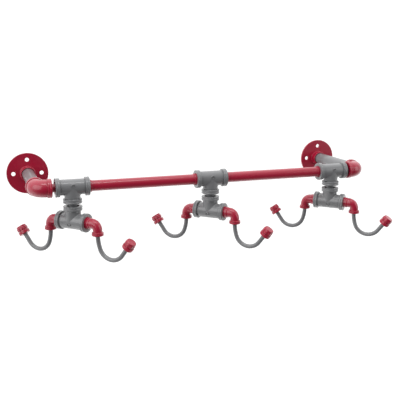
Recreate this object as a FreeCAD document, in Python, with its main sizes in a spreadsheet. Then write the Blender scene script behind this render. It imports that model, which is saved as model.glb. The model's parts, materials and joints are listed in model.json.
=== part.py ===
import FreeCAD, Part
import math
import os

import Sketcher

# A wall rack made of painted pipe fittings. Two round wall flanges carry standoff pipes, corner
# elbows and a horizontal rail. Three tees sit in the rail, and from the downward branch of each
# hangs a head that turns on its nipple: a tee with a street elbow, a bent rod hook and an end cap
# on both sides.
#
# Frame: X runs along the rail, +Y goes into the wall, +Z is up. The origin is on the wall, midway
# between the flanges and level with the rail. Lengths are millimetres and angles are degrees.

SIZES = (
    ("flange_spacing", 700, "between the centres of the two wall flanges"),
    ("wall_offset", 180, "wall to the axis of the rail"),
    ("head_pitch", 283.5, "between neighbouring heads along the rail"),
    ("head_turn", 45, "heads as stored, turned from the line of the rail"),
    ("swivel_gap", 5.9, "between the two tees of one head"),
    ("flange_radius", 43.6, "outside of the wall flange"),
    ("flange_plate", 4, "thickness of the flange's plate"),
    ("flange_round", 0.9, "rounding of the flange's rim"),
    ("hub_radius", 15.6, "outside of the flange's hub"),
    ("hub_rise", 14, "hub beyond the front of the plate"),
    ("hub_fillet", 1.5, "rounding of the hub into the plate"),
    ("hub_round", 2.4, "rounding of the hub's front"),
    ("screw_circle", 58.7, "diameter of the circle of screw holes"),
    ("screw_hole", 8.7, "diameter of a screw hole"),
    ("screw_count", 4, "screw holes in a flange"),
    ("male_radius", 12.05, "outside of a fitting's threaded end"),
    ("female_radius", 12.1, "inside of a fitting's mouth"),
    ("male_length", 12, "threaded end inside a mouth"),
    ("mouth_depth", 13.5, "depth of a mouth"),
    ("core_radius", 11, "passage through the large fittings"),
    ("band_radius", 18.5, "outside of the band round a large mouth"),
    ("band_length", 8.5, "length of that band"),
    ("band_round", 1.3, "rounding of that band"),
    ("body_radius", 15.4, "outside of a tee's run between its bands"),
    ("branch_radius", 15.3, "outside of a tee's branch below its band"),
    ("body_fillet", 1.2, "rounding of a tee's body into its bands"),
    ("run_reach", 32.8, "centre of a tee to the mouths of its run"),
    ("branch_reach", 31, "centre of a tee to the mouth of its branch"),
    ("mark_width", 8, "oval casting mark on a tee, along the run"),
    ("mark_depth", 6.4, "oval casting mark on a tee, across the run"),
    ("mark_rise", 0.7, "oval casting mark, proud of the body"),
    ("mark_offset", 4.5, "oval casting mark from the run's axis, away from the branch"),
    ("corner_reach", 27.6, "centre of a corner elbow to its mouths"),
    ("corner_radius", 17, "outside of a corner elbow between its bands"),
    ("corner_bend", 17.2, "bend radius of a corner elbow"),
    ("pipe_radius", 12.6, "outside of a standoff pipe"),
    ("pipe_bore", 9.5, "inside of a standoff pipe"),
    ("neck_radius", 8.1, "turned neck of a nipple"),
    ("neck_bore", 5, "inside of a nipple"),
    ("neck_sink", 3.5, "neck inside a mouth, up to where the thread starts"),
    ("rail_radius", 10.65, "outside of a rail pipe"),
    ("rail_bore", 8, "inside of a rail pipe"),
    ("rail_seat", 10.7, "inside of a rail bushing"),
    ("collar_radius", 11.9, "outside of a rail bushing's collar"),
    ("collar_length", 4.5, "rail bushing beyond the tee's mouth"),
    ("shank_reach", 55.5, "swivel axis to the hook's upright shank"),
    ("elbow_radius", 9.3, "outside of a hook elbow"),
    ("elbow_bend", 11.3, "bend radius of a hook elbow"),
    ("elbow_bore", 6, "passage through a hook elbow"),
    ("elbow_drop", 21.9, "centre line of the hook tee's run down to the hook elbow's mouth"),
    ("spigot_length", 11.6, "threaded end of a hook elbow inside the hook tee's mouth"),
    ("elbow_collar_end", 40.5, "swivel axis to the end of the hook elbow's collar"),
    ("small_band_radius", 11, "outside of a hook elbow's collar and of the band round its mouth"),
    ("small_band_length", 6.4, "length of that band"),
    ("small_round", 0.9, "rounding of the small fittings"),
    ("bush_radius", 7.5, "outside of a rod bush"),
    ("bush_length", 10, "length of a rod bush"),
    ("bush_recess", 1, "rod bush inside the hook elbow's mouth"),
    ("rod_radius", 4.4, "outside of a hook rod"),
    ("rod_seat", 4.45, "inside of a rod bush and of a cap's hole"),
    ("lead_bend", 78, "radius of the gentle bend below a hook elbow"),
    ("lead_sweep", 19.6, "angle of that bend"),
    ("hook_bend", 28, "radius of a hook's main bend"),
    ("hook_sweep", 124.4, "angle of that bend"),
    ("hook_tip", 19.5, "straight end of the hook up to the cap"),
    ("cap_rim_radius", 11.4, "outside of a cap's rim"),
    ("cap_rim_length", 6.6, "length of a cap's rim"),
    ("cap_groove_radius", 9.3, "bottom of the groove above the rim"),
    ("cap_groove_length", 1.6, "length of that groove"),
    ("cap_radius", 9.9, "outside of a cap above the groove"),
    ("cap_length", 17.9, "whole length of a cap"),
    ("cap_round", 1.6, "rounding of a cap's closed end"),
    ("cap_hole_depth", 9, "rod inside a cap"),
    ("rib_width", 4, "width of a cap's rib"),
    ("rib_radius", 10.8, "axis of a cap to the outside of a rib"),
    ("rib_end", 15.3, "rim face of a cap to the end of its ribs"),
    ("rib_pairs", 4, "pairs of opposite ribs on a cap"),
)

RUN_LENGTH = "2 * Sizes.run_reach"
HEAD_DROP = "(2 * Sizes.branch_reach + Sizes.swivel_gap)"
ELBOW_MOUTH = f"({HEAD_DROP} + Sizes.elbow_drop)"
RAIL_BACK = "-Sizes.wall_offset"
HALF_SPACING = "Sizes.flange_spacing / 2"
HALF_PITCH = "Sizes.head_pitch / 2"
COLUMNS = (("left", "-1"), ("middle", "0"), ("right", "1"))
SAME = 0.001

doc = FreeCAD.newDocument("WallHookRack")
sheet = doc.addObject("Spreadsheet::Sheet", "Sizes")
for row, (alias, size, meaning) in enumerate(SIZES, start=1):
    sheet.set(f"A{row}", alias)
    sheet.set(f"B{row}", str(size))
    sheet.set(f"C{row}", meaning)
    sheet.setAlias(f"B{row}", alias)
doc.recompute()

subparts = []


def value(expression):
    """An expression's value with the sizes as they are in the sheet."""
    return float(sheet.evalExpression(expression))


def new_body(label):
    """An empty body, listed as a sub-part of the rack."""
    body = doc.addObject("PartDesign::Body", label)
    body.Label = label
    subparts.append(body)
    return body


def place(body, base, turn=None):
    """Binds a body's position to three expressions and gives it a rotation."""
    body.Placement = FreeCAD.Placement(FreeCAD.Vector(), turn or FreeCAD.Rotation())
    for axis, expression in zip("xyz", base):
        body.setExpression(f".Placement.Base.{axis}", expression)


def about_z(angle):
    return FreeCAD.Rotation(FreeCAD.Vector(0, 0, 1), angle)


# Sketches ------------------------------------------------------------------------------------


def new_sketch(body, plane, away="0"):
    """A sketch on one of the body's origin planes, moved away along the plane's normal.

    The normal of XY_Plane is +Z, that of YZ_Plane +X and that of XZ_Plane -Y.
    """
    sketch = body.newObject("Sketcher::SketchObject", f"{body.Name}_sketch")
    support = next(item for item in body.Origin.OriginFeatures if item.Role == plane)
    sketch.AttachmentSupport = [(support, "")]
    sketch.MapMode = "FlatFace"
    sketch.setExpression(".AttachmentOffset.Base.z", away)
    return sketch


def bind(sketch, *constraint, size):
    """Adds a constraint whose size is an expression."""
    number = sketch.addConstraint(Sketcher.Constraint(*constraint, value(size)))
    sketch.setExpression(f"Constraints[{number}]", size)


def bind_angle(sketch, item, size):
    """Sets the direction of a line, or the span of an arc, to an expression in degrees."""
    number = sketch.addConstraint(Sketcher.Constraint("Angle", item, math.radians(value(size))))
    sketch.setExpression(f"Constraints[{number}]", f"({size}) * 1 deg")


def bind_point(sketch, item, end, point):
    """Ties one end, or the centre, of an item to a point given by two expressions."""
    bind(sketch, "DistanceX", -1, 1, item, end, size=point[0])
    bind(sketch, "DistanceY", -1, 1, item, end, size=point[1])


def circle_sketch(body, plane, away, centre, radius):
    sketch = new_sketch(body, plane, away)
    middle = FreeCAD.Vector(value(centre[0]), value(centre[1]), 0)
    sketch.addGeometry(Part.Circle(middle, FreeCAD.Vector(0, 0, 1), value(radius)))
    bind_point(sketch, 0, 3, centre)
    bind(sketch, "Radius", 0, size=radius)
    return sketch


def outline_sketch(body, plane, corners):
    """A closed outline of straight lines through corners given by pairs of expressions."""
    sketch = new_sketch(body, plane)
    points = [FreeCAD.Vector(value(x), value(y), 0) for x, y in corners]
    for start, end in zip(points, points[1:] + points[:1]):
        sketch.addGeometry(Part.LineSegment(start, end))
    for item, corner in enumerate(corners):
        following = (item + 1) % len(corners)
        sketch.addConstraint(Sketcher.Constraint("Coincident", item, 2, following, 1))
        bind_point(sketch, item, 1, corner)
    return sketch


def step(bearing, length):
    return FreeCAD.Vector(math.cos(bearing), math.sin(bearing), 0) * length


def path_sketch(body, plane, start, heading, legs):
    """A path of straight runs and arcs, each leaving where the one before it ended.

    The first leg is a run that leaves start at the angle heading. A run is (length,) and an arc
    is (radius, turn), with a positive turn counter-clockwise.
    """
    sketch = new_sketch(body, plane)
    at = FreeCAD.Vector(value(start[0]), value(start[1]), 0)
    bearing = math.radians(value(heading))
    last_end = None
    for item, leg in enumerate(legs):
        size = value(leg[0])
        if len(leg) == 1:
            end = at + step(bearing, size)
            sketch.addGeometry(Part.LineSegment(at, end))
            bind(sketch, "Distance", item, size=leg[0])
            near_end, far_end = 1, 2
        else:
            turn = math.radians(value(leg[1]))
            quarter = math.copysign(math.pi / 2, turn)
            centre = at + step(bearing + quarter, size)
            middle = centre - step(bearing + turn / 2 + quarter, size)
            end = centre - step(bearing + turn + quarter, size)
            sketch.addGeometry(Part.Arc(at, middle, end))
            bind(sketch, "Radius", item, size=leg[0])
            bind_angle(sketch, item, f"abs({leg[1]})")
            near_end, far_end = (1, 2) if turn > 0 else (2, 1)
            bearing += turn
        if item:
            sketch.addConstraint(Sketcher.Constraint("Tangent", item - 1, last_end, item, near_end))
        else:
            bind_point(sketch, 0, 1, start)
            bind_angle(sketch, 0, heading)
        last_end = far_end
        at = end
    return sketch


def oval_sketch(body, plane, centre, width, height):
    sketch = new_sketch(body, plane)
    middle = FreeCAD.Vector(value(centre[0]), value(centre[1]), 0)
    sketch.addGeometry(Part.Ellipse(middle, value(width) / 2, value(height) / 2))
    sketch.exposeInternalGeometry(0)
    bind_point(sketch, 0, 3, centre)
    sketch.addConstraint(Sketcher.Constraint("Horizontal", 1))
    bind(sketch, "Distance", 1, size=width)
    bind(sketch, "Distance", 2, size=height)
    return sketch


# Features ------------------------------------------------------------------------------------


def grow(body, kind, sketch):
    """Adds a feature made from a sketch, and gives it with the body's volume before it."""
    doc.recompute()
    before = body.Tip.Shape.Volume if body.Tip else 0.0
    feature = body.newObject(f"PartDesign::{kind}", f"{body.Name}_{kind}")
    feature.Profile = sketch
    sketch.Visibility = False
    return feature, before


def settle(body, before, cuts):
    """Recomputes the body and stops if its last feature did not cut, or did not add."""
    doc.recompute()
    change = body.Tip.Shape.Volume - before
    if (-change if cuts else change) < SAME:
        raise RuntimeError(f"{body.Tip.Label} changed the volume of {body.Label} by {change}")


def extrude(body, sketch, length, cuts=False):
    """Pads or pockets a sketch along the normal of its plane."""
    feature, before = grow(body, "Pocket" if cuts else "Pad", sketch)
    feature.setExpression("Length", length)
    feature.Reversed = cuts
    settle(body, before, cuts)
    return feature


def disc(body, plane, away, radius, length, centre=("0", "0"), cuts=False):
    """A cylinder that starts at a distance from a plane and runs on along its normal."""
    return extrude(body, circle_sketch(body, plane, away, centre, radius), length, cuts)


def sweep(body, profile, path, cuts=False):
    feature, before = grow(body, "SubtractivePipe" if cuts else "AdditivePipe", profile)
    edges = [f"Edge{number + 1}" for number in range(path.GeometryCount)]
    feature.Spine = (path, edges)
    path.Visibility = False
    settle(body, before, cuts)
    return feature


def revolve(body, sketch):
    feature, before = grow(body, "Revolution", sketch)
    feature.ReferenceAxis = (sketch, ["V_Axis"])
    feature.Angle = 360
    settle(body, before, False)
    return feature


def repeat_about(body, feature, sketch, count):
    """Repeats a feature round the normal through the sketch's origin."""
    pattern = body.newObject("PartDesign::PolarPattern", f"{body.Name}_pattern")
    pattern.Originals = [feature]
    pattern.Axis = (sketch, ["N_Axis"])
    pattern.Angle = 360
    pattern.setExpression("Occurrences", count)
    body.Tip = pattern
    doc.recompute()


def round_circles(body, radius, size, axis=None, level="0"):
    """Rounds the body's circular edges of one radius: all of them, or those at a level of an axis."""
    doc.recompute()
    names = []
    for number, edge in enumerate(body.Tip.Shape.Edges, start=1):
        curve = edge.Curve
        if not isinstance(curve, Part.Circle) or abs(curve.Radius - value(radius)) > SAME:
            continue
        if axis is None or abs(getattr(curve.Center, axis) - value(level)) < SAME:
            names.append(f"Edge{number}")
    base = body.Tip
    fillet = body.newObject("PartDesign::Fillet", f"{body.Name}_round")
    fillet.Base = (base, names)
    fillet.setExpression("Radius", size)
    doc.recompute()


# Sub-parts -----------------------------------------------------------------------------------


def wall_flange(label):
    """Origin on the wall, in the middle of the flange."""
    body = new_body(label)
    disc(body, "XZ_Plane", "0", "Sizes.flange_radius", "Sizes.flange_plate")
    hub = "(Sizes.flange_plate + Sizes.hub_rise)"
    plate_front = "-Sizes.flange_plate"
    disc(body, "XZ_Plane", "0", "Sizes.hub_radius", hub)
    round_circles(body, "Sizes.flange_radius", "Sizes.flange_round", "y", plate_front)
    round_circles(body, "Sizes.hub_radius", "Sizes.hub_fillet", "y", plate_front)
    round_circles(body, "Sizes.hub_radius", "Sizes.hub_round", "y", f"-{hub}")
    disc(body, "XZ_Plane", "0", "Sizes.female_radius", hub, cuts=True)
    top_hole = ("0", "Sizes.screw_circle / 2")
    hole = circle_sketch(body, "XZ_Plane", "0", top_hole, "Sizes.screw_hole / 2")
    pocket = extrude(body, hole, "Sizes.flange_plate", cuts=True)
    repeat_about(body, pocket, hole, "Sizes.screw_count")
    return body


def standoff_pipe(label):
    """Origin on the wall, in the middle of the flange that holds the pipe."""
    hub = "(Sizes.flange_plate + Sizes.hub_rise)"
    elbow = "(Sizes.wall_offset - Sizes.corner_reach)"
    start = f"({hub} - Sizes.male_length * 0.75)"
    body = new_body(label)
    length = f"{elbow} + Sizes.male_length - {start}"
    disc(body, "XZ_Plane", start, "Sizes.male_radius", length)
    disc(body, "XZ_Plane", hub, "Sizes.pipe_radius", f"{elbow} - {hub}")
    disc(body, "XZ_Plane", start, "Sizes.pipe_bore", length, cuts=True)
    return body


def corner_elbow(label):
    """Origin where the axes of the two mouths meet; the mouths open towards +X and +Y."""
    reach = "Sizes.corner_reach"
    straight = "(Sizes.corner_reach - Sizes.corner_bend)"
    band = "Sizes.band_length"
    mouth = "Sizes.mouth_depth"
    body = new_body(label)

    def passage(radius, cuts):
        legs = ((straight,), ("Sizes.corner_bend", "-90"), (straight,))
        path = path_sketch(body, "XY_Plane", (reach, "0"), "180", legs)
        sweep(body, circle_sketch(body, "YZ_Plane", reach, ("0", "0"), radius), path, cuts)

    passage("Sizes.corner_radius", cuts=False)
    disc(body, "YZ_Plane", f"{reach} - {band}", "Sizes.band_radius", band)
    disc(body, "XZ_Plane", f"-{reach}", "Sizes.band_radius", band)
    round_circles(body, "Sizes.band_radius", "Sizes.band_round")
    passage("Sizes.core_radius", cuts=True)
    disc(body, "YZ_Plane", f"{reach} - {mouth}", "Sizes.female_radius", mouth, cuts=True)
    disc(body, "XZ_Plane", f"-{reach}", "Sizes.female_radius", mouth, cuts=True)
    return body


def nipple(label, plane, start, gap):
    """Two threaded ends with a turned neck between them, which begins inside each mouth.

    The nipple starts at a distance from a plane, and gap is the space between the two mouths.
    """
    thread = "(Sizes.male_length - Sizes.neck_sink)"
    length = f"({gap} + 2 * Sizes.male_length)"
    body = new_body(label)
    disc(body, plane, start, "Sizes.male_radius", thread)
    disc(body, plane, start, "Sizes.neck_radius", length)
    disc(body, plane, f"{start} + {length} - {thread}", "Sizes.male_radius", thread)
    disc(body, plane, start, "Sizes.neck_bore", length, cuts=True)
    return body


def corner_nipple(label):
    """Origin at the mouth of the corner elbow, with the rail tee towards +X."""
    gap = f"({HALF_SPACING} - Sizes.head_pitch - Sizes.corner_reach - Sizes.run_reach)"
    return nipple(label, "YZ_Plane", "-Sizes.male_length", gap)


def swivel_nipple(label):
    """Origin at the centre of the rail tee, whose branch holds the upper end."""
    low = "-(Sizes.branch_reach + Sizes.swivel_gap + Sizes.male_length)"
    return nipple(label, "XY_Plane", low, "Sizes.swivel_gap")


def tee(label):
    """Origin where the axes meet; the run is along X, the branch goes up and the mark faces -Y."""
    run = "Sizes.run_reach"
    reach = "Sizes.branch_reach"
    band = "Sizes.band_length"
    mouth = "Sizes.mouth_depth"
    body = new_body(label)
    disc(body, "YZ_Plane", f"-{run}", "Sizes.body_radius", RUN_LENGTH)
    disc(body, "XY_Plane", "0", "Sizes.branch_radius", reach)
    disc(body, "YZ_Plane", f"-{run}", "Sizes.band_radius", band)
    disc(body, "YZ_Plane", f"{run} - {band}", "Sizes.band_radius", band)
    disc(body, "XY_Plane", f"{reach} - {band}", "Sizes.band_radius", band)
    round_circles(body, "Sizes.band_radius", "Sizes.band_round")
    round_circles(body, "Sizes.body_radius", "Sizes.body_fillet")
    round_circles(body, "Sizes.branch_radius", "Sizes.body_fillet")
    below = ("0", "-Sizes.mark_offset")
    oval = oval_sketch(body, "XZ_Plane", below, "Sizes.mark_width", "Sizes.mark_depth")
    extrude(body, oval, "Sizes.body_radius + Sizes.mark_rise")
    disc(body, "YZ_Plane", f"-{run}", "Sizes.core_radius", RUN_LENGTH, cuts=True)
    disc(body, "XY_Plane", "0", "Sizes.core_radius", reach, cuts=True)
    disc(body, "YZ_Plane", f"-{run}", "Sizes.female_radius", mouth, cuts=True)
    disc(body, "YZ_Plane", f"{run} - {mouth}", "Sizes.female_radius", mouth, cuts=True)
    disc(body, "XY_Plane", f"{reach} - {mouth}", "Sizes.female_radius", mouth, cuts=True)
    return body


def rail_bushing(label):
    """Origin at the mouth of the rail tee, with the rail leaving towards +X."""
    end = "Sizes.male_length"
    body = new_body(label)
    disc(body, "YZ_Plane", f"-{end}", "Sizes.male_radius", end)
    disc(body, "YZ_Plane", "0", "Sizes.collar_radius", "Sizes.collar_length")
    disc(body, "YZ_Plane", f"-{end}", "Sizes.rail_seat", f"{end} + Sizes.collar_length", cuts=True)
    return body


def rail_pipe(label):
    """Origin midway between the two tees that the pipe joins."""
    length = f"(Sizes.head_pitch - {RUN_LENGTH} + 2 * Sizes.male_length)"
    body = new_body(label)
    disc(body, "YZ_Plane", f"-{length} / 2", "Sizes.rail_radius", length)
    disc(body, "YZ_Plane", f"-{length} / 2", "Sizes.rail_bore", length, cuts=True)
    return body


# The pieces of a hook are modelled with the origin on the head's swivel axis, level with the
# rail, and with the hook reaching out along +X.


def hook_elbow(label):
    start = "(Sizes.run_reach - Sizes.male_length)"
    run_in = f"(Sizes.shank_reach - Sizes.elbow_bend - {start})"
    run_out = "(Sizes.elbow_drop - Sizes.elbow_bend)"
    level = f"-{HEAD_DROP}"
    mouth = f"-{ELBOW_MOUTH}"
    shank = ("Sizes.shank_reach", "0")
    body = new_body(label)

    def passage(radius, cuts):
        legs = ((run_in,), ("Sizes.elbow_bend", "-90"), (run_out,))
        path = path_sketch(body, "XZ_Plane", (start, level), "0", legs)
        sweep(body, circle_sketch(body, "YZ_Plane", start, ("0", level), radius), path, cuts)

    passage("Sizes.elbow_radius", cuts=False)
    collar = f"Sizes.elbow_collar_end - {start}"
    disc(body, "YZ_Plane", start, "Sizes.small_band_radius", collar, centre=("0", level))
    disc(body, "YZ_Plane", start, "Sizes.male_radius", "Sizes.spigot_length", centre=("0", level))
    disc(body, "XY_Plane", mouth, "Sizes.small_band_radius", "Sizes.small_band_length", centre=shank)
    round_circles(body, "Sizes.small_band_radius", "Sizes.small_round")
    passage("Sizes.elbow_bore", cuts=True)
    seat = "Sizes.bush_recess + Sizes.bush_length"
    disc(body, "XY_Plane", mouth, "Sizes.bush_radius", seat, centre=shank, cuts=True)
    return body


def rod_bush(label):
    low = f"-{ELBOW_MOUTH} + Sizes.bush_recess"
    shank = ("Sizes.shank_reach", "0")
    body = new_body(label)
    disc(body, "XY_Plane", low, "Sizes.bush_radius", "Sizes.bush_length", centre=shank)
    disc(body, "XY_Plane", low, "Sizes.rod_seat", "Sizes.bush_length", centre=shank, cuts=True)
    return body


def hook_rod(label):
    sunk = "(Sizes.bush_recess + Sizes.bush_length)"
    top = f"({sunk} - {ELBOW_MOUTH})"
    legs = (
        (sunk,),
        ("Sizes.lead_bend", "Sizes.lead_sweep"),
        ("Sizes.hook_bend", "Sizes.hook_sweep"),
        ("Sizes.hook_tip + Sizes.cap_hole_depth",),
    )
    body = new_body(label)
    path = path_sketch(body, "XZ_Plane", ("Sizes.shank_reach", top), "-90", legs)
    profile = circle_sketch(body, "XY_Plane", top, ("Sizes.shank_reach", "0"), "Sizes.rod_radius")
    sweep(body, profile, path)
    return body


def hook_cap(label):
    """Origin in the middle of the rim's face, with the closed end towards +Z."""
    neck = "(Sizes.cap_rim_length + Sizes.cap_groove_length)"
    body = new_body(label)
    corners = (
        ("0", "0"),
        ("Sizes.cap_rim_radius", "0"),
        ("Sizes.cap_rim_radius", "Sizes.cap_rim_length"),
        ("Sizes.cap_groove_radius", "Sizes.cap_rim_length"),
        ("Sizes.cap_groove_radius", neck),
        ("Sizes.cap_radius", neck),
        ("Sizes.cap_radius", "Sizes.cap_length"),
        ("0", "Sizes.cap_length"),
    )
    revolve(body, outline_sketch(body, "XZ_Plane", corners))
    round_circles(body, "Sizes.cap_radius", "Sizes.cap_round", "z", "Sizes.cap_length")
    round_circles(body, "Sizes.cap_rim_radius", "Sizes.small_round")
    rib_corners = (
        ("-Sizes.rib_width / 2", "-Sizes.rib_radius"),
        ("Sizes.rib_width / 2", "-Sizes.rib_radius"),
        ("Sizes.rib_width / 2", "Sizes.rib_radius"),
        ("-Sizes.rib_width / 2", "Sizes.rib_radius"),
    )
    rib = outline_sketch(body, "XY_Plane", rib_corners)
    rib.setExpression(".AttachmentOffset.Base.z", neck)
    bar = extrude(body, rib, f"Sizes.rib_end - {neck}")
    repeat_about(body, bar, rib, "Sizes.rib_pairs * 2")
    disc(body, "XY_Plane", "0", "Sizes.rod_seat", "Sizes.cap_hole_depth", cuts=True)
    return body


# The rack ------------------------------------------------------------------------------------


def on_head(body, column, bearing, reach="0", height="0", lean=0):
    """Places a piece of a head: turned about the swivel axis, after leaning and moving out."""
    base = (
        f"{column} * Sizes.head_pitch + ({reach}) * cos({bearing})",
        f"{RAIL_BACK} + ({reach}) * sin({bearing})",
        height,
    )
    leaning = FreeCAD.Rotation(FreeCAD.Vector(0, 1, 0), lean)
    place(body, base, about_z(bearing).multiply(leaning))


def build_supports():
    """Flanges, standoff pipes, corner elbows and corner nipples, with the left side first."""
    for side, sign, turn in (("left", "-", 0), ("right", "", 90)):
        flange_x = f"{sign}{HALF_SPACING}"
        place(wall_flange(f"{side}_wall_flange"), (flange_x, "0", "0"))
        place(standoff_pipe(f"{side}_standoff_pipe"), (flange_x, "0", "0"))
        place(corner_elbow(f"{side}_corner_elbow"), (flange_x, RAIL_BACK, "0"), about_z(turn))
        mouth_x = f"{sign}({HALF_SPACING} - Sizes.corner_reach)"
        place(corner_nipple(f"{side}_corner_nipple"), (mouth_x, RAIL_BACK, "0"), about_z(2 * turn))


def build_rail():
    """Rail tees with their swivel nipples, and the pipes and bushings between the tees."""
    upside_down = FreeCAD.Rotation(FreeCAD.Vector(0, 1, 0), 180)
    for name, column in COLUMNS:
        centre = (f"{column} * Sizes.head_pitch", RAIL_BACK, "0")
        place(tee(f"{name}_rail_tee"), centre, upside_down)
        place(swivel_nipple(f"{name}_swivel_nipple"), centre)
    for name, middle in (("left", "-0.5"), ("right", "0.5")):
        place(rail_pipe(f"{name}_rail_pipe"), (f"{middle} * Sizes.head_pitch", RAIL_BACK, "0"))
        for end, sign, turn in (("left", "-", 0), ("right", "+", 180)):
            mouth_x = f"{middle} * Sizes.head_pitch {sign} ({HALF_PITCH} - Sizes.run_reach)"
            bushing = rail_bushing(f"{name}_rail_{end}_bushing")
            place(bushing, (mouth_x, RAIL_BACK, "0"), about_z(turn))


def cap_position():
    """Reach and height of a cap's rim face, and how far the cap leans from upright."""
    lead = "Sizes.lead_sweep"
    whole = "(Sizes.lead_sweep + Sizes.hook_sweep)"
    reach = (
        f"Sizes.shank_reach + Sizes.lead_bend * (1 - cos({lead}))"
        f" + Sizes.hook_bend * (cos({lead}) - cos({whole})) + Sizes.hook_tip * sin({whole})"
    )
    height = (
        f"-{ELBOW_MOUTH} - Sizes.lead_bend * sin({lead})"
        f" + Sizes.hook_bend * (sin({lead}) - sin({whole})) - Sizes.hook_tip * cos({whole})"
    )
    return reach, height, 180 - value(whole)


def build_heads():
    """Three turning heads, each a tee with a front and a rear hook."""
    turn = value("Sizes.head_turn")
    cap_at = cap_position()
    for name, column in COLUMNS:
        centre = (f"{column} * Sizes.head_pitch", RAIL_BACK, f"-{HEAD_DROP}")
        place(tee(f"{name}_hook_tee"), centre, about_z(-turn))
        for side, bearing in (("front", -turn), ("rear", 180 - turn)):
            stem = f"{name}_{side}_hook"
            on_head(hook_elbow(f"{stem}_elbow"), column, bearing)
            on_head(rod_bush(f"{stem}_bush"), column, bearing)
            on_head(hook_rod(f"{stem}_rod"), column, bearing)
            on_head(hook_cap(f"{stem}_cap"), column, bearing, *cap_at)


def write_parts():
    """Stops if anything failed to build, then writes each sub-part to its own file."""
    doc.recompute()
    failed = [item.Label for item in doc.Objects if {"Invalid", "Error"} & set(item.State)]
    for body in subparts:
        if body.Shape.isNull() or not body.Shape.isValid():
            failed.append(body.Label)
    if failed:
        raise RuntimeError(f"these objects failed: {failed}")
    os.makedirs("parts", exist_ok=True)
    for body in subparts:
        body.Shape.exportStep(f"parts/{body.Label}.step")
        print(f"{body.Label}: {body.Shape.Volume:.0f} mm3, {len(body.Shape.Solids)} solid")


build_supports()
build_rail()
build_heads()
write_parts()
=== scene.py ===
import json
import math

import bmesh
import bpy
import numpy as np
from mathutils import Matrix, Vector

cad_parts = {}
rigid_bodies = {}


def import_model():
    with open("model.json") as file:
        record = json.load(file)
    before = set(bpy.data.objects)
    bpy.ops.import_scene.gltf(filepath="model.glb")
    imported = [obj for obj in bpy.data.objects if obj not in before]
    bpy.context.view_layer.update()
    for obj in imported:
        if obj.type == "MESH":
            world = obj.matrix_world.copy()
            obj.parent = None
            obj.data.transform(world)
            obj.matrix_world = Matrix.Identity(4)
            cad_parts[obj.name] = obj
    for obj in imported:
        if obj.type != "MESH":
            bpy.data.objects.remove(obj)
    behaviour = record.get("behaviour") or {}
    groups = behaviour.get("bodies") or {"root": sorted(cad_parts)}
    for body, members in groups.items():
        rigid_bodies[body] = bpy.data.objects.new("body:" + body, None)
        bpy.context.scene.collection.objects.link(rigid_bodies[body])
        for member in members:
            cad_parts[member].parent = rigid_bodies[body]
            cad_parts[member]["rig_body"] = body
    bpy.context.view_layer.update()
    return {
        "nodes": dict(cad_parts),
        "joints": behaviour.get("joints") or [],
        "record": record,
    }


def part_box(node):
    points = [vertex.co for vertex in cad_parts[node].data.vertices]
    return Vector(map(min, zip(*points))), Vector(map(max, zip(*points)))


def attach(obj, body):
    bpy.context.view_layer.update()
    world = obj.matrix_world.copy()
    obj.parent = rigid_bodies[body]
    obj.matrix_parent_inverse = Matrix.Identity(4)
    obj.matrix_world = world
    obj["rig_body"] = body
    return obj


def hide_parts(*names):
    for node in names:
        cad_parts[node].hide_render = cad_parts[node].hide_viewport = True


# The looks of a wall rack made of painted pipe fittings. Every sub-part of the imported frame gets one
# finely built piece in its place. Places and turns come from the frame. Sizes are in metres.

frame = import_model()

MM = 0.001

# How finely shapes are divided: round an axis, round a corner, along a bend, and along a tee's arms.
ANGLE_STEPS = 96
ARC_STEPS = 6
BEND_STEP = 0.8 * MM
BODY_RINGS = 22
CORE_RINGS = 6

# Points closer than a weld become one, and an edge that bends more than a sharp angle stays sharp.
WELD = 1e-7
TEE_WELD = 2e-6
SHARP_ANGLE = math.radians(38)
FLANGE_SHARP_ANGLE = math.radians(30)

# Large fittings. A male end goes into a female mouth.
MALE_RADIUS = 12.05 * MM
FEMALE_RADIUS = 12.1 * MM
MALE_LENGTH = 12 * MM
MOUTH_DEPTH = 13.5 * MM
MOUTH_FLARE = 0.6 * MM
MOUTH_FLARE_DEPTH = 0.8 * MM
CORE_RADIUS = 11 * MM
BAND_RADIUS = 18.5 * MM
BAND_LENGTH = 8.5 * MM
BODY_RADIUS = 15.4 * MM
RUN_REACH = 32.8 * MM
BRANCH_REACH = 31 * MM
SWIVEL_GAP = 5.9 * MM
HEAD_DROP = 2 * BRANCH_REACH + SWIVEL_GAP
CORNER_REACH = 27.6 * MM
CORNER_RADIUS = 17 * MM
CORNER_BEND = 17.2 * MM
UNDERCUT = 0.6 * MM
THREAD_PITCH = 1.81 * MM
THREAD_DEPTH = 0.9 * MM
CREASE_REACH = 2 * MM
CREASE_RISE = CREASE_REACH / 2.2
MARK_HALF_WIDTH = 4 * MM
MARK_HALF_HEIGHT = 3.2 * MM
MARK_DROP = 4.5 * MM
MARK_RISE = 0.9 * MM

# Flanges, pipes and nipples.
FLANGE_RADIUS = 43.6 * MM
FLANGE_PLATE = 4 * MM
HUB_RADIUS = 15.6 * MM
HUB_FRONT = 18 * MM
HUB_FLARE = 1.2 * MM
HUB_FLARE_DEPTH = 1.8 * MM
PIPE_RADIUS = 12.6 * MM
PIPE_BORE = 9.5 * MM
STANDOFF_SINK = 0.75 * MALE_LENGTH
NECK_RADIUS = 8.1 * MM
NECK_BORE = 5 * MM
NECK_SINK = 3.5 * MM
RAIL_RADIUS = 10.65 * MM
RAIL_BORE = 8 * MM
RAIL_SEAT = 10.7 * MM
COLLAR_RADIUS = 11.9 * MM
COLLAR_LENGTH = 4.5 * MM

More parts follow.
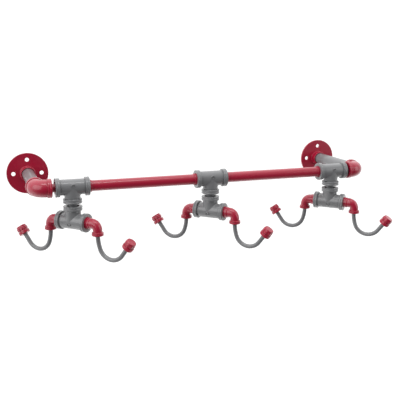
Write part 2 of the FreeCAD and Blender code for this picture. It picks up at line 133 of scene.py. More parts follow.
# Hooks. A START, END or MOUTH is a distance along a hook's line, which begins on the swivel axis.
SHANK_REACH = 55.5 * MM
ELBOW_BEND = 11.3 * MM
ELBOW_DROP = 21.9 * MM
ELBOW_RADIUS = 9 * MM
ELBOW_SHOULDER = 10.1 * MM
ELBOW_BORE = 6 * MM
ELBOW_START = RUN_REACH - MALE_LENGTH
SPIGOT_END = ELBOW_START + 11.6 * MM
ELBOW_COLLAR_RADIUS = 11 * MM
ELBOW_COLLAR_END = 40.5 * MM
ELBOW_BAND_RADIUS = 11.6 * MM
ELBOW_BAND_LENGTH = 6.4 * MM
RUN_IN = SHANK_REACH - ELBOW_BEND
ELBOW_MOUTH = RUN_IN + ELBOW_BEND * math.pi / 2 + ELBOW_DROP - ELBOW_BEND
BUSH_RADIUS = 7.5 * MM
BUSH_LENGTH = 10 * MM
BUSH_RECESS = 1 * MM
BUSH_GROOVE_RADIUS = 5.7 * MM
BUSH_GROOVE_DEPTH = 0.5 * MM
BUSH_GROOVE_HALF = 0.4 * MM
ROD_RADIUS = 4.4 * MM
ROD_SEAT = 4.45 * MM
ROD_START = ELBOW_MOUTH - BUSH_RECESS - BUSH_LENGTH
LEAD_BEND = 78 * MM
LEAD_SWEEP = math.radians(19.6)
HOOK_BEND = 28 * MM
HOOK_SWEEP = math.radians(124.4)
HOOK_TIP = 19.5 * MM
CAP_START = ELBOW_MOUTH + LEAD_BEND * LEAD_SWEEP + HOOK_BEND * HOOK_SWEEP + HOOK_TIP

# Caps. An END is a distance from the cap's open end.
CAP_RIM_RADIUS = 11.4 * MM
CAP_RIM_LENGTH = 6.6 * MM
CAP_GROOVE_RADIUS = 9.3 * MM
CAP_GROOVE_END = 8.2 * MM
CAP_RADIUS = 9.9 * MM
CAP_LENGTH = 17.9 * MM
CAP_HOLE_DEPTH = 9 * MM
RIBS = 8
RIB_RADIUS = 10.8 * MM
RIB_END = 15.3 * MM
RIB_HALF_ANGLE = math.radians(10.5)
RIB_FOOT_ANGLE = RIB_HALF_ANGLE * 1.35
RIB_FLANK_ANGLE = RIB_HALF_ANGLE * 0.6
RIB_RISE_LENGTH = 0.5 * MM
RIB_FALL_LENGTH = 1.6 * MM


# Profiles and lathe shapes ---------------------------------------------------------------------


def rounded(corners, step=0.0):
    """A closed profile through corners (along, radius, rounding), as an array of points.

    Runs longer than step are divided, unless step is 0.
    """
    points = []
    for number, (along, radius, rounding) in enumerate(corners):
        here = np.array((along, radius))
        before = np.array(corners[number - 1][:2]) - here
        after = np.array(corners[(number + 1) % len(corners)][:2]) - here
        if rounding == 0:
            points.append(here)
            continue
        start = here + before / np.linalg.norm(before) * rounding
        end = here + after / np.linalg.norm(after) * rounding
        for part in np.linspace(0, 1, ARC_STEPS + 1):
            points.append(start * (1 - part) ** 2 + here * 2 * part * (1 - part) + end * part**2)
    if step:
        points = divided(points, step)
    return np.array(points)


def divided(points, step):
    """A closed profile's points with its longer runs divided."""
    finer = []
    for here, following in zip(points, points[1:] + points[:1]):
        count = max(1, math.ceil(np.linalg.norm(following - here) / step))
        finer += [here + (following - here) * part / count for part in range(count)]
    return finer


def on_axis_at_ends(profile, start, end):
    """A solid's profile whose only points on the axis are at start and end."""
    off_axis = profile[profile[:, 1] > 0]
    return np.array([(start, 0), *off_axis, (end, 0)])


class Line:
    """A path of straight runs (length,) and arcs (radius, turn) in the plane of X and Z."""

    def __init__(self, start, heading, legs):
        self.legs = []
        at, bearing, along = np.array(start, float), heading, 0.0
        for leg in legs:
            radius, turn = leg if len(leg) == 2 else (0.0, 0.0)
            length = abs(radius * turn) if turn else leg[0]
            self.legs.append((along, at, bearing, math.copysign(1 / radius, turn) if turn else 0.0))
            at, bearing = self.walk(self.legs[-1], length)
            along += length

    @staticmethod
    def walk(leg, distance):
        """The point and the bearing at a distance along one leg."""
        _, at, bearing, curvature = leg
        if curvature == 0:
            return at + np.array((math.cos(bearing), math.sin(bearing))) * distance, bearing
        turned_to = bearing + curvature * distance
        step = (math.sin(turned_to) - math.sin(bearing), math.cos(bearing) - math.cos(turned_to))
        return at + np.array(step) / curvature, turned_to

    def at(self, along):
        """The point and the bearing at a distance along the path."""
        leg = [item for item in self.legs if item[0] <= along or item is self.legs[0]][-1]
        return self.walk(leg, along - leg[0])


STRAIGHT = Line((0, 0), 0, [(1.0,)])
CORNER_LINE = Line((CORNER_REACH, 0), math.pi, [
    (CORNER_REACH - CORNER_BEND,), (CORNER_BEND, -math.pi / 2), (CORNER_REACH - CORNER_BEND,),
])
CORNER_LENGTH = 2 * (CORNER_REACH - CORNER_BEND) + CORNER_BEND * math.pi / 2
HOOK_LINE = Line((0, -HEAD_DROP), 0, [
    (RUN_IN,), (ELBOW_BEND, -math.pi / 2), (ELBOW_DROP - ELBOW_BEND,),
    (LEAD_BEND, LEAD_SWEEP), (HOOK_BEND, HOOK_SWEEP), (HOOK_TIP + CAP_LENGTH,),
])


def turned(name, profile, line=STRAIGHT, relief=None, steps=ANGLE_STEPS):
    """A solid of revolution whose axis follows a line.

    relief gives the radius from the distance along, the profile's radius and the angle.
    """
    along, radius = profile[:, 0:1], profile[:, 1:2]
    angle = np.arange(steps)[None, :] * 2 * math.pi / steps
    spread = np.broadcast_to(radius, (len(profile), steps))
    if relief:
        along_grid = np.broadcast_to(along, spread.shape)
        spread = relief(along_grid, spread, np.broadcast_to(angle, spread.shape))
    places = [line.at(distance) for distance in profile[:, 0]]
    middle = np.array([place[0] for place in places])
    bearing = np.array([place[1] for place in places])[:, None]
    side = spread * np.cos(angle)
    points = np.stack((
        middle[:, 0:1] - side * np.sin(bearing),
        spread * np.sin(angle),
        middle[:, 1:2] + side * np.cos(bearing),
    ), axis=2)
    return finished(name, points.reshape(-1, 3), grid_faces(len(profile), steps, True))


def grid_faces(rows, columns, closed):
    """Quads over a grid of points whose rows are rings. closed joins the last row to the first."""
    faces = []
    for row in range(rows if closed else rows - 1):
        for column in range(columns):
            following = (column + 1) % columns
            below = (row + 1) % rows
            faces.append((
                row * columns + column, row * columns + following,
                below * columns + following, below * columns + column,
            ))
    return faces


def finished(name, points, faces, weld=WELD):
    """A welded mesh without empty faces, its normals outwards, smooth apart from its real edges."""
    mesh = bpy.data.meshes.new(name)
    mesh.from_pydata([tuple(point) for point in points], [], faces)
    mesh.validate()
    work = bmesh.new()
    work.from_mesh(mesh)
    bmesh.ops.remove_doubles(work, verts=work.verts, dist=weld)
    bmesh.ops.dissolve_degenerate(work, edges=work.edges, dist=weld)
    bmesh.ops.recalc_face_normals(work, faces=work.faces)
    work.to_mesh(mesh)
    work.free()
    mesh.shade_smooth()
    mesh.set_sharp_from_angle(angle=SHARP_ANGLE)
    return mesh


def thread(crest):
    """A relief that cuts a screw thread into surfaces at the crest's radius."""

    tolerance = 0.01 * MM

    def cut(along, radius, angle):
        phase = (along / THREAD_PITCH + angle / (2 * math.pi)) % 1
        wave = 1 - np.abs(2 * phase - 1)
        # Clipping the wave flattens the thread's crest and root.
        depth = THREAD_DEPTH * np.clip(1.6 * wave - 0.2, 0, 1)
        threaded = np.abs(radius - crest) < tolerance
        return np.where(threaded, radius - depth, radius)

    return cut


# Pieces ----------------------------------------------------------------------------------------


def band(start, end, body):
    """Corners of a band round a mouth at end, from a shallow groove in the body at start.

    The band has two ridges with a valley between them, and the one at the mouth is the higher.
    """
    way = math.copysign(1, end - start)
    low_ridge = BAND_RADIUS - 0.15 * MM
    valley = BAND_RADIUS - 0.55 * MM
    return [
        (start - way * 2.4 * MM, body, 1 * MM),
        (start, body - UNDERCUT, 0.5 * MM),
        (start, low_ridge, 1.1 * MM),
        (end - way * 4.6 * MM, low_ridge, 0.8 * MM),
        (end - way * 3.7 * MM, valley, 0.3 * MM),
        (end - way * 2.8 * MM, BAND_RADIUS, 0.8 * MM),
        (end, BAND_RADIUS, 1.3 * MM),
    ]


def flange_mesh():
    """A wall flange without its screw holes, its back at 0 and its hub towards +X."""
    profile = rounded([
        (0, FEMALE_RADIUS, 0.3 * MM),
        (0, FLANGE_RADIUS, 0.35 * MM),
        (FLANGE_PLATE, FLANGE_RADIUS, 1 * MM),
        (FLANGE_PLATE, HUB_RADIUS, 1.5 * MM),
        (HUB_FRONT, HUB_RADIUS, 1.1 * MM),
        (HUB_FRONT, PIPE_RADIUS + HUB_FLARE, 0.5 * MM),
        (HUB_FRONT - HUB_FLARE_DEPTH, FEMALE_RADIUS, 0.2 * MM),
    ], step=1.5 * MM)
    return turned("flange", profile, steps=128)


def cutter_mesh(radius):
    """A drill for a screw hole, flared at both faces of the plate and longer than it is thick."""
    flare = 0.2 * MM
    beyond = 2 * MM
    profile = rounded([
        (-beyond, 0, 0),
        (-beyond, radius + flare + beyond, 0),
        (0.4 * MM, radius, 0.2 * MM),
        (FLANGE_PLATE - flare, radius, 0.2 * MM),
        (FLANGE_PLATE + beyond, radius + flare + beyond, 0),
        (FLANGE_PLATE + beyond, 0, 0),
    ])
    return turned("cutter", profile, steps=40)


def standoff_mesh(length):
    """A pipe from inside the flange's hub to inside the corner elbow, whose mouth is at length."""
    start = HUB_FRONT - STANDOFF_SINK
    end = length + MALE_LENGTH
    profile = rounded([
        (start, PIPE_BORE, 0.3 * MM),
        (start, MALE_RADIUS, 0.6 * MM),
        (HUB_FRONT, MALE_RADIUS, 0),
        (HUB_FRONT, PIPE_RADIUS, 0.35 * MM),
        (length, PIPE_RADIUS, 0.35 * MM),
        (length, MALE_RADIUS, 0),
        (end, MALE_RADIUS, 0.6 * MM),
        (end, PIPE_BORE, 0.3 * MM),
    ])
    return turned("standoff", profile)


def corner_mesh():
    """The elbow at a corner; its mouths open towards +X and +Z."""
    end = CORNER_LENGTH
    inner = end - MOUTH_DEPTH
    profile = rounded([
        (0, FEMALE_RADIUS + MOUTH_FLARE, 0.3 * MM),
        *reversed(band(BAND_LENGTH, 0, CORNER_RADIUS)),
        *band(end - BAND_LENGTH, end, CORNER_RADIUS),
        (end, FEMALE_RADIUS + MOUTH_FLARE, 0.3 * MM),
        (end - MOUTH_FLARE_DEPTH, FEMALE_RADIUS, 0.2 * MM),
        (inner, FEMALE_RADIUS, 0),
        (inner, CORE_RADIUS, 0),
        (MOUTH_DEPTH, CORE_RADIUS, 0),
        (MOUTH_DEPTH, FEMALE_RADIUS, 0),
        (MOUTH_FLARE_DEPTH, FEMALE_RADIUS, 0.2 * MM),
    ], step=BEND_STEP)
    return turned("corner", profile, CORNER_LINE)


def nipple_mesh(gap):
    """A nipple from one mouth at 0 to the next at gap, with threads on its ends."""
    shoulder = (MALE_RADIUS - NECK_RADIUS) * 0.6
    profile = rounded([
        (-MALE_LENGTH, NECK_BORE, 0.3 * MM),
        (-MALE_LENGTH, MALE_RADIUS, 0),
        (-NECK_SINK - shoulder, MALE_RADIUS, 0),
        (-NECK_SINK, NECK_RADIUS, 0.8 * MM),
        (gap + NECK_SINK, NECK_RADIUS, 0.8 * MM),
        (gap + NECK_SINK + shoulder, MALE_RADIUS, 0),
        (gap + MALE_LENGTH, MALE_RADIUS, 0),
        (gap + MALE_LENGTH, NECK_BORE, 0.3 * MM),
    ], step=THREAD_PITCH / 7)
    return turned("nipple", profile, relief=thread(MALE_RADIUS), steps=72)


def bushing_mesh():
    """A bushing from inside a tee's mouth, which is at 0, to the front of its collar."""
    profile = rounded([
        (-MALE_LENGTH, RAIL_SEAT, 0.2 * MM),
        (-MALE_LENGTH, MALE_RADIUS, 0.5 * MM),
        (0, MALE_RADIUS, 0),
        (0, COLLAR_RADIUS, 0),
        (COLLAR_LENGTH, COLLAR_RADIUS, 0.7 * MM),
        (COLLAR_LENGTH, RAIL_SEAT, 0.3 * MM),
    ])
    return turned("bushing", profile)


def rail_mesh(length):
    """A rail pipe along X with its middle at 0."""
    half = length / 2
    profile = rounded([
        (-half, RAIL_BORE, 0.4 * MM),
        (-half, RAIL_RADIUS, 0.6 * MM),
        (half, RAIL_RADIUS, 0.6 * MM),
        (half, RAIL_BORE, 0.4 * MM),
    ], step=20 * MM)
    return turned("rail", profile)


def hook_elbow_mesh():
    """A street elbow: a male end, a collar, a bend that gets slimmer, and a band with a groove."""
    band_start = ELBOW_MOUTH - ELBOW_BAND_LENGTH
    groove = ELBOW_MOUTH - 4.2 * MM
    profile = rounded([
        (ELBOW_START, ELBOW_BORE, 0.3 * MM),
        (ELBOW_START, MALE_RADIUS, 0.6 * MM),
        (SPIGOT_END, MALE_RADIUS, 0),
        (SPIGOT_END, ELBOW_COLLAR_RADIUS, 0),
        (ELBOW_COLLAR_END, ELBOW_COLLAR_RADIUS, 0.9 * MM),
        (ELBOW_COLLAR_END + 0.6 * MM, ELBOW_SHOULDER, 0.3 * MM),
        (RUN_IN, ELBOW_SHOULDER, 2 * MM),
        (RUN_IN + ELBOW_BEND * 1.1, ELBOW_RADIUS, 4 * MM),
        (band_start, ELBOW_RADIUS, 0.5 * MM),
        (band_start, ELBOW_BAND_RADIUS - 0.1 * MM, 0.6 * MM),
        (groove - 0.5 * MM, ELBOW_BAND_RADIUS - 0.1 * MM, 0.5 * MM),
        (groove, ELBOW_BAND_RADIUS - 0.95 * MM, 0.2 * MM),
        (groove + 0.5 * MM, ELBOW_BAND_RADIUS, 0.5 * MM),
        (ELBOW_MOUTH, ELBOW_BAND_RADIUS, 1.2 * MM),
        (ELBOW_MOUTH, BUSH_RADIUS + 0.4 * MM, 0.3 * MM),
        (ELBOW_MOUTH - 0.6 * MM, BUSH_RADIUS, 0),
        (ROD_START, BUSH_RADIUS, 0),
        (ROD_START, ELBOW_BORE, 0),
    ], step=BEND_STEP)
    return turned("hook_elbow", profile, HOOK_LINE)


def bush_mesh():
    """A bush between rod and elbow, with a fine ring groove in the face that shows."""
    end = ELBOW_MOUTH - BUSH_RECESS
    profile = rounded([
        (ROD_START, ROD_SEAT, 0.2 * MM),
        (ROD_START, BUSH_RADIUS, 0.4 * MM),
        (end, BUSH_RADIUS, 0.4 * MM),
        (end, BUSH_GROOVE_RADIUS + BUSH_GROOVE_HALF, 0.3 * MM),
        (end - BUSH_GROOVE_DEPTH, BUSH_GROOVE_RADIUS, 0.3 * MM),
        (end, BUSH_GROOVE_RADIUS - BUSH_GROOVE_HALF, 0.3 * MM),
        (end, ROD_SEAT, 0.3 * MM),
    ])
    return turned("bush", profile, HOOK_LINE, steps=72)


def rod_mesh():
    """A bent rod from inside the elbow to inside the cap."""
    end = CAP_START + CAP_HOLE_DEPTH
    profile = rounded([
        (ROD_START, 0, 0),
        (ROD_START, ROD_RADIUS, 0.6 * MM),
        (end, ROD_RADIUS, 0.6 * MM),
        (end, 0, 0),
    ], step=BEND_STEP)
    return turned("rod", on_axis_at_ends(profile, ROD_START, end), HOOK_LINE, steps=56)


def ribs(along, radius, angle):
    """A relief that raises the ribs on the body of a cap."""
    tolerance = 0.05 * MM
    spacing = 2 * math.pi / RIBS
    place = np.abs((angle + spacing / 2) % spacing - spacing / 2)
    across = np.clip((RIB_FOOT_ANGLE - place) / RIB_FLANK_ANGLE, 0, 1)
    rise = np.clip((along - CAP_START - CAP_GROOVE_END) / RIB_RISE_LENGTH, 0, 1)
    fall = np.clip((CAP_START + RIB_END - along) / RIB_FALL_LENGTH, 0, 1)
    share = across**2 * (3 - 2 * across) * rise**0.5 * fall**0.6
    outer = (radius > CAP_GROOVE_RADIUS - tolerance) & (radius < RIB_RADIUS)
    return np.where(outer, radius + (RIB_RADIUS - radius) * share, radius)


def cap_mesh():
    """A closed cap with a rim, a groove above it and a ribbed body, and a blind hole for the rod."""
    rim = CAP_START + CAP_RIM_LENGTH
    neck = CAP_START + CAP_GROOVE_END
    end = CAP_START + CAP_LENGTH
    hole = CAP_START + CAP_HOLE_DEPTH
    profile = rounded([
        (hole, 0, 0),
        (hole, ROD_SEAT, 0),
        (CAP_START + 0.5 * MM, ROD_SEAT, 0.2 * MM),
        (CAP_START, ROD_SEAT + 0.5 * MM, 0.2 * MM),
        (CAP_START, CAP_RIM_RADIUS, 1.2 * MM),
        (rim, CAP_RIM_RADIUS, 1 * MM),
        (rim, CAP_GROOVE_RADIUS, 0.4 * MM),
        (neck, CAP_GROOVE_RADIUS, 0.4 * MM),
        (neck, CAP_RADIUS, 0.3 * MM),
        (end, CAP_RADIUS, 1.6 * MM),
        (end, 0, 0),
    ], step=0.5 * MM)
    return turned("cap", on_axis_at_ends(profile, hole, end), HOOK_LINE, relief=ribs, steps=144)


# Tees ------------------------------------------------------------------------------------------


def arm(reach, seam_outer, seam_inner):
    """Rings of one arm of a tee, from its outer seam to its mouth and back to its inner seam.

    Gives the distances and radii of all rings for every angle round the arm.
    """
    outer = rounded([
        (0, BODY_RADIUS, 0),
        *band(reach - BAND_LENGTH, reach, BODY_RADIUS),
        (reach, FEMALE_RADIUS + MOUTH_FLARE, 0.3 * MM),
        (reach - MOUTH_FLARE_DEPTH, FEMALE_RADIUS, 0.2 * MM),
    ])
    body_end = outer[1, 0]
    seat = reach - MOUTH_DEPTH
    wall = divided_open(outer[-1], np.array((seat, FEMALE_RADIUS)), THREAD_PITCH / 6)
    fixed = np.array([*outer[2:], *wall, (seat, CORE_RADIUS)])
    body_share = np.linspace(0, 1, BODY_RINGS)[:, None] ** 1.3
    core_share = np.linspace(0, 1, CORE_RINGS)[1:, None]
    body_along = seam_outer[None, :] + (body_end - seam_outer[None, :]) * body_share
    core_along = seat + (seam_inner[None, :] - seat) * core_share
    columns = len(seam_outer)
    along = np.vstack((body_along, np.repeat(fixed[:, 0:1], columns, 1), core_along))
    radius = np.vstack((
        np.full_like(body_along, BODY_RADIUS),
        np.repeat(fixed[:, 1:2], columns, 1),
        np.full_like(core_along, CORE_RADIUS),
    ))
    return along, radius


def divided_open(start, end, step):
    """Points after start up to end, no further apart than step."""
    count = max(1, math.ceil(np.linalg.norm(end - start) / step))
    return [start + (end - start) * part / count for part in range(1, count + 1)]


def soften_crease(points):
    """Moves points near the crease between run and branch outwards, as in a casting."""
    tolerance = 0.02 * MM
    x, y, z = points.T
    run = np.hypot(y, z)
    branch = np.hypot(x, y)
    gap = np.abs(run - branch)
    near = np.clip(1 - gap / CREASE_REACH, 0, 1)
    normal_run = np.stack((0 * x, y, z), 1) / run[:, None].clip(1e-9)
    normal_branch = np.stack((x, y, 0 * x), 1) / branch[:, None].clip(1e-9)
    apart = 1 - (normal_run * normal_branch).sum(1)
    nearer = np.minimum(run, branch)
    on_outside = (nearer > BODY_RADIUS - tolerance) & (nearer < BODY_RADIUS + tolerance) & (z > 0)
    way = normal_run + normal_branch
    way /= np.linalg.norm(way, axis=1)[:, None].clip(1e-9)
    amount = np.where(on_outside, CREASE_RISE * near**2 * apart.clip(0, 1), 0)
    return points + way * amount[:, None]


def casting_mark():
    """Points and faces of a low oval button on the -Y side of a tee, with a dish inside its rim.

    Each ring is a share of the oval's half-axes and a distance from the run's axis.
    """
    top = BODY_RADIUS + MARK_RISE
    steps = 64
    rings = [
        (0, top - 1.1 * MM), (0.4, top - 1.1 * MM), (0.66, top - 1.15 * MM), (0.72, top - 0.9 * MM),
        (0.76, top - 0.3 * MM), (0.81, top), (0.88, top - 0.03 * MM), (0.94, top - 0.3 * MM),
        (1, top - 0.9 * MM), (1.02, top - 1.7 * MM), (1.02, top - 3 * MM), (0, top - 3 * MM),
    ]
    angle = np.arange(steps) * 2 * math.pi / steps
    points = [
        (
            MARK_HALF_WIDTH * share * math.cos(turn),
            -height,
            MARK_HALF_HEIGHT * share * math.sin(turn) - MARK_DROP,
        )
        for share, height in rings for turn in angle
    ]
    return np.array(points), grid_faces(len(rings), steps, False)


def tee_mesh():
    """A tee with its run along X and its branch up."""
    steps = ANGLE_STEPS
    angle = np.arange(steps) * 2 * math.pi / steps
    run_seam = np.cos(angle).clip(0, None)
    run_along, run_radius = arm(RUN_REACH, BODY_RADIUS * run_seam, CORE_RADIUS * run_seam)
    branch_seam = np.abs(np.cos(angle))
    branch_along, branch_radius = arm(BRANCH_REACH, BODY_RADIUS * branch_seam, CORE_RADIUS * branch_seam)
    cos = np.cos(angle)[None, :]
    sin = np.sin(angle)[None, :]
    arms = (
        np.stack((run_along, run_radius * sin, run_radius * cos), 2),
        np.stack((-run_along, run_radius * sin, run_radius * cos), 2),
        np.stack((branch_radius * cos, branch_radius * sin, branch_along), 2),
    )
    shells = [(soften_crease(grid.reshape(-1, 3)), grid_faces(len(grid), steps, False)) for grid in arms]
    shells.append(casting_mark())
    faces = []
    base = 0
    for shell_points, shell_faces in shells:
        faces += [tuple(base + corner for corner in face) for face in shell_faces]
        base += len(shell_points)
    return finished("tee", np.vstack([shell[0] for shell in shells]), faces, weld=TEE_WELD)


# Materials -------------------------------------------------------------------------------------

RED = (0.35, 0.0035, 0.029)
GREY = (0.17, 0.172, 0.178)
STEEL = (0.06, 0.06, 0.063)
TONE_VARIATION = 0.025
SPECKLE_SHARE = 0.03
SPECKLE_TONE = 1.3
FINISHES = {
    "red_cast": {"colour": RED, "roughness": 0.3, "grain": 650, "grain_depth": 2.5e-6, "coat": 0.5},
    "red_pipe": {"colour": RED, "roughness": 0.3, "grain": 480, "grain_depth": 1.5e-6, "coat": 0.5},
    "grey_cast": {"colour": GREY, "roughness": 0.34, "grain": 650, "grain_depth": 5e-6, "coat": 0.5},
    "grey_pipe": {"colour": GREY, "roughness": 0.34, "grain": 480, "grain_depth": 1.5e-6, "coat": 0.4},
    "dark_steel": {"colour": STEEL, "roughness": 0.4, "grain": 900, "grain_depth": 1e-5, "metallic": 0.7},
}


class Nodes:
    """Adds and links the nodes of one material or world."""

    def __init__(self, tree):
        self.tree = tree
        tree.nodes.clear()

    def add(self, kind, inputs=(), **settings):
        """A new node. Each input is a value, or another node's output, which is linked."""
        node = self.tree.nodes.new(kind)
        for name, setting in settings.items():
            setattr(node, name, setting)
        for socket, source in dict(inputs).items():
            if isinstance(source, bpy.types.NodeSocket):
                self.tree.links.new(source, node.inputs[socket])
            else:
                node.inputs[socket].default_value = source
        return node

    def noise(self, vector, scale, detail=3.0, roughness=0.5):
        """A noise from 0 to 1, most of it between 0.3 and 0.7."""
        return self.add("ShaderNodeTexNoise", {
            "Vector": vector, "Scale": scale, "Detail": detail, "Roughness": roughness,
        }).outputs["Fac"]

    def ranged(self, source, low, high):
        """Turns a noise's usual range into low to high."""
        return self.add("ShaderNodeMapRange", {
            "Value": source, "From Min": 0.3, "From Max": 0.7, "To Min": low, "To Max": high,
        }).outputs["Result"]


def enamel(name, colour, roughness, grain, grain_depth, coat=0.0, metallic=0.0):
    """Paint over metal, with slight changes of tone and a fine grain in its surface.

    grain is the scale of the grain's noise and grain_depth its height in metres.
    """
    material = bpy.data.materials.new(name)
    material.use_nodes = True
    nodes = Nodes(material.node_tree)
    place = nodes.add("ShaderNodeTexCoord").outputs["Object"]
    broad = nodes.noise(place, scale=28, detail=3)
    fine = nodes.noise(place, scale=420, detail=4, roughness=0.6)
    mixing = nodes.add("ShaderNodeMixRGB", {
        "Fac": nodes.ranged(broad, 0.0, 1.0),
        "Color1": (*[channel * (1 - TONE_VARIATION) for channel in colour], 1),
        "Color2": (*[channel * (1 + TONE_VARIATION) for channel in colour], 1),
    })
    speckled = nodes.add("ShaderNodeMixRGB", {
        "Fac": nodes.ranged(fine, 0.0, SPECKLE_SHARE),
        "Color1": mixing.outputs["Color"],
        "Color2": (*[channel * SPECKLE_TONE for channel in colour], 1),
    })
    patches = nodes.noise(place, scale=160, detail=4)
    rough = nodes.ranged(patches, roughness - 0.02, roughness + 0.03)
    surface_grain = nodes.noise(place, scale=grain, detail=3, roughness=0.55)
    waviness = nodes.noise(place, scale=90, detail=2)
    heights = nodes.add("ShaderNodeMath", {0: surface_grain, 1: waviness}, operation="ADD")
    bump = nodes.add("ShaderNodeBump", {
        "Height": heights.outputs["Value"], "Distance": grain_depth, "Strength": 1.0,
    })
    shader = nodes.add("ShaderNodeBsdfPrincipled", {
        "Base Color": speckled.outputs["Color"], "Roughness": rough, "Metallic": metallic,
        "Normal": bump.outputs["Normal"], "Coat Weight": coat, "Coat Roughness": 0.13,
        "IOR": 1.5,
    })
    nodes.add("ShaderNodeOutputMaterial", {"Surface": shader.outputs["BSDF"]})
    return material


materials = {name: enamel(name, **finish) for name, finish in FINISHES.items()}

# The rack --------------------------------------------------------------------------------------

mounts = {row["name"]: row for row in frame["record"]["mounts"]}
swivels = {joint["child"]: Vector(joint["pos_m"]) for joint in frame["joints"]}


def piece(node, mesh, material, placement):
    """Puts a mesh in the place of a node of the frame."""
    shaped = mesh.copy()
    shaped.transform(placement)
    shaped.materials.clear()
    shaped.materials.append(materials[material])
    item = bpy.data.objects.new(f"{node}_look", shaped)
    bpy.context.scene.collection.objects.link(item)
    smoothing = item.modifiers.new("Weighted", "WEIGHTED_NORMAL")
    smoothing.keep_sharp = True
    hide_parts(node)
    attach(item, frame["nodes"][node]["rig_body"])


def about(axis, degrees):
    """A turn about an axis through the origin."""
    return Matrix.Rotation(math.radians(degrees), 4, axis)


def drilled(mesh, mount):
    """The flange's mesh with the screw holes that its mount states."""
    radius = mount["dims"]["hole_r_mm"] * MM
    circle = mount["dims"]["pcd_mm"] * MM / 2
    count = mount["dims"]["count"]
    solid = bpy.data.objects.new("flange", mesh)
    bpy.context.scene.collection.objects.link(solid)
    cutter = cutter_mesh(radius)
    drills = []
    for number in range(count):
        angle = 2 * math.pi * number / count
        drill = bpy.data.objects.new("cutter", cutter)
        drill.location = (0, circle * math.sin(angle), circle * math.cos(angle))
        bpy.context.scene.collection.objects.link(drill)
        drills.append(drill)
        cut = solid.modifiers.new("Hole", "BOOLEAN")
        cut.object = drill
        cut.operation = "DIFFERENCE"
        cut.solver = "EXACT"
    bpy.context.view_layer.update()
    evaluated = solid.evaluated_get(bpy.context.evaluated_depsgraph_get())
    result = bpy.data.meshes.new_from_object(evaluated)
    for item in (solid, *drills):
        bpy.data.objects.remove(item)
    result.shade_smooth()
    result.set_sharp_from_angle(angle=FLANGE_SHARP_ANGLE)
    return result


def build_supports():
    """Flanges, standoff pipes, corner elbows and corner nipples."""
    offset = -swivels["middle_head"].y
    standoff = standoff_mesh(offset - CORNER_REACH)
    corner = corner_mesh()
    outward = about("Z", -90)
    upright = about("X", -90)
    for side, turn, neighbour in (("left", 0, "left_head"), ("right", 90, "right_head")):
        centre = Vector(mounts[f"{side}_flange_screws"]["pos_m"])
        flange = drilled(flange_mesh(), mounts[f"{side}_flange_screws"])
        at_wall = Matrix.Translation(centre)
        at_corner = Matrix.Translation(centre + Vector((0, -offset, 0)))
        piece(f"{side}_wall_flange", flange, "red_cast", at_wall @ outward)
        piece(f"{side}_standoff_pipe", standoff, "grey_pipe", at_wall @ outward)
        piece(f"{side}_corner_elbow", corner, "red_cast", at_corner @ about("Z", turn) @ upright)
        gap = abs(centre.x - swivels[neighbour].x) - CORNER_REACH - RUN_REACH
        along_rail = at_corner @ about("Z", 2 * turn) @ Matrix.Translation((CORNER_REACH, 0, 0))
        piece(f"{side}_corner_nipple", nipple_mesh(gap), "red_pipe", along_rail)


def build_rail(tee):
    """Rail tees with their swivel nipples, and the pipes and bushings between them."""
    swivel_nipple = nipple_mesh(SWIVEL_GAP)
    for head, axis in swivels.items():
        name = head.removesuffix("_head")
        centre = Matrix.Translation((axis.x, axis.y, 0))
        piece(f"{name}_rail_tee", tee, "grey_cast", centre @ about("Y", 180))
        downwards = centre @ about("Y", 90) @ Matrix.Translation((BRANCH_REACH, 0, 0))
        piece(f"{name}_swivel_nipple", swivel_nipple, "grey_pipe", downwards)
    pitch = swivels["right_head"].x - swivels["middle_head"].x
    rail = rail_mesh(pitch - 2 * RUN_REACH + 2 * MALE_LENGTH)
    bushing = bushing_mesh()
    for side, start in (("left", "left_head"), ("right", "middle_head")):
        first = Matrix.Translation((swivels[start].x, swivels[start].y, 0))
        piece(f"{side}_rail_pipe", rail, "red_pipe", first @ Matrix.Translation((pitch / 2, 0, 0)))
        at_left = first @ Matrix.Translation((RUN_REACH, 0, 0))
        at_right = first @ Matrix.Translation((pitch - RUN_REACH, 0, 0)) @ about("Z", 180)
        piece(f"{side}_rail_left_bushing", bushing, "red_pipe", at_left)
        piece(f"{side}_rail_right_bushing", bushing, "red_pipe", at_right)


def build_heads(tee):
    """Three turning heads, each a tee with a front and a rear hook."""
    hook = (
        ("elbow", hook_elbow_mesh(), "red_cast"),
        ("bush", bush_mesh(), "dark_steel"),
        ("rod", rod_mesh(), "grey_pipe"),
        ("cap", cap_mesh(), "red_cast"),
    )
    for head, axis in swivels.items():
        name = head.removesuffix("_head")
        low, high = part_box(f"{name}_front_hook_cap")
        out = (low + high) / 2 - axis
        bearing = math.degrees(math.atan2(out.y, out.x))
        centre = Matrix.Translation((axis.x, axis.y, 0)) @ about("Z", bearing)
        piece(f"{name}_hook_tee", tee, "grey_cast", centre @ Matrix.Translation((0, 0, -HEAD_DROP)))
        for side, turn in (("front", 0), ("rear", 180)):
            for part, mesh, material in hook:
                piece(f"{name}_{side}_hook_{part}", mesh, material, centre @ about("Z", turn))


tee = tee_mesh()
build_supports()
build_rail(tee)
build_heads(tee)

# Floor, light and camera -----------------------------------------------------------------------

FLOOR_LEVEL = -1.5
FLOOR_REACH = 60
FLOOR_FRONT = -0.2
BACKDROP_LEVEL = 1.15

# Lights as name, place, aim, size and power in watts.
LIGHTS = (
    ("overhead", (-0.2, -1.1, 2.4), (0, -0.15, 0), (1.8, 0.5), 16),
    ("left_panel", (-2.5, -1.5, 1.1), (0, -0.18, 0), (3.0, 2.4), 46),
    ("right_panel", (2.5, -1.9, 0.7), (0, -0.18, 0), (2.0, 2.4), 26),
)

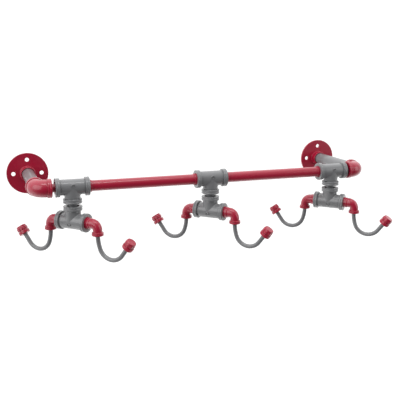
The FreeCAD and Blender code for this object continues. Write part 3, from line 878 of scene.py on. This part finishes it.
# The camera's yaw is to the right of +Y and its pitch is downwards, in degrees. Its lens and
# sensor are in millimetres.
CAMERA_PLACE = (-0.4676, -1.4143, 0.2485)
CAMERA_YAW = 19.82
CAMERA_PITCH = 12.58
CAMERA_ROLL = 0.25
CAMERA_LENS = 58.61
CAMERA_SENSOR = 36


def build_floor():
    """A white floor 1.5 m below the rack, from under the rail backwards."""
    mesh = bpy.data.meshes.new("floor")
    corners = [
        (-FLOOR_REACH, FLOOR_FRONT, 0), (FLOOR_REACH, FLOOR_FRONT, 0),
        (FLOOR_REACH, FLOOR_REACH, 0), (-FLOOR_REACH, FLOOR_REACH, 0),
    ]
    mesh.from_pydata(corners, [], [(0, 1, 2, 3)])
    floor = bpy.data.objects.new("floor", mesh)
    floor.location = (0, 0, FLOOR_LEVEL)
    bpy.context.scene.collection.objects.link(floor)
    material = bpy.data.materials.new("floor")
    material.use_nodes = True
    nodes = Nodes(material.node_tree)
    place = nodes.add("ShaderNodeTexCoord").outputs["Object"]
    shader = nodes.add("ShaderNodeBsdfPrincipled", {
        "Base Color": (0.94, 0.94, 0.94, 1), "Specular IOR Level": 0.0,
        "Roughness": nodes.ranged(nodes.noise(place, scale=3), 0.8, 0.95),
        "Emission Color": (1, 1, 1, 1), "Emission Strength": 0.08,
    })
    nodes.add("ShaderNodeOutputMaterial", {"Surface": shader.outputs["BSDF"]})
    mesh.materials.append(material)


def build_world():
    """A white dome, dimmer towards the room than above and behind the rack.

    The camera itself sees one even level of white.
    """
    world = bpy.data.worlds.new("studio")
    bpy.context.scene.world = world
    world.use_nodes = True
    nodes = Nodes(world.node_tree)
    way = nodes.add("ShaderNodeTexCoord").outputs["Generated"]
    parts = nodes.add("ShaderNodeSeparateXYZ", {"Vector": way})
    level = nodes.add("ShaderNodeMapRange", {
        "Value": parts.outputs["Y"], "From Min": -0.7, "From Max": 0.3,
        "To Min": 0.12, "To Max": 1.15,
    })
    above = nodes.add("ShaderNodeMapRange", {
        "Value": parts.outputs["Z"], "From Min": 0.25, "From Max": 0.9,
        "To Min": 0.0, "To Max": 0.6,
    })
    lighting = nodes.add("ShaderNodeMath", {
        0: level.outputs["Result"], 1: above.outputs["Result"],
    }, operation="ADD")
    seen = nodes.add("ShaderNodeLightPath").outputs["Is Camera Ray"]
    strength = nodes.add("ShaderNodeMapRange", {
        "Value": seen, "To Min": lighting.outputs["Value"], "To Max": BACKDROP_LEVEL,
    })
    background = nodes.add("ShaderNodeBackground", {
        "Color": (1, 1, 1, 1), "Strength": strength.outputs["Result"],
    })
    nodes.add("ShaderNodeOutputWorld", {"Surface": background.outputs["Background"]})


def area_light(name, position, target, size, power):
    """A rectangular light at position, facing target."""
    light = bpy.data.lights.new(name, "AREA")
    light.shape = "RECTANGLE"
    light.size, light.size_y = size
    light.energy = power
    item = bpy.data.objects.new(name, light)
    item.location = position
    item.rotation_euler = (Vector(target) - Vector(position)).to_track_quat("-Z", "Y").to_euler()
    bpy.context.scene.collection.objects.link(item)


def build_camera():
    """A camera to the left of the rack, in front of it and above it."""
    camera = bpy.data.objects.new("camera", bpy.data.cameras.new("camera"))
    yaw = math.radians(CAMERA_YAW)
    pitch = math.radians(CAMERA_PITCH)
    ahead = Vector((
        math.sin(yaw) * math.cos(pitch),
        math.cos(yaw) * math.cos(pitch),
        -math.sin(pitch),
    ))
    facing = ahead.to_track_quat("-Z", "Y").to_matrix().to_4x4() @ about("Z", CAMERA_ROLL)
    camera.location = CAMERA_PLACE
    camera.rotation_euler = facing.to_euler()
    camera.data.lens = CAMERA_LENS
    camera.data.sensor_width = CAMERA_SENSOR
    bpy.context.scene.collection.objects.link(camera)
    bpy.context.scene.camera = camera


build_floor()
build_world()
for light in LIGHTS:
    area_light(*light)
build_camera()
bpy.context.scene.view_settings.view_transform = "Standard"
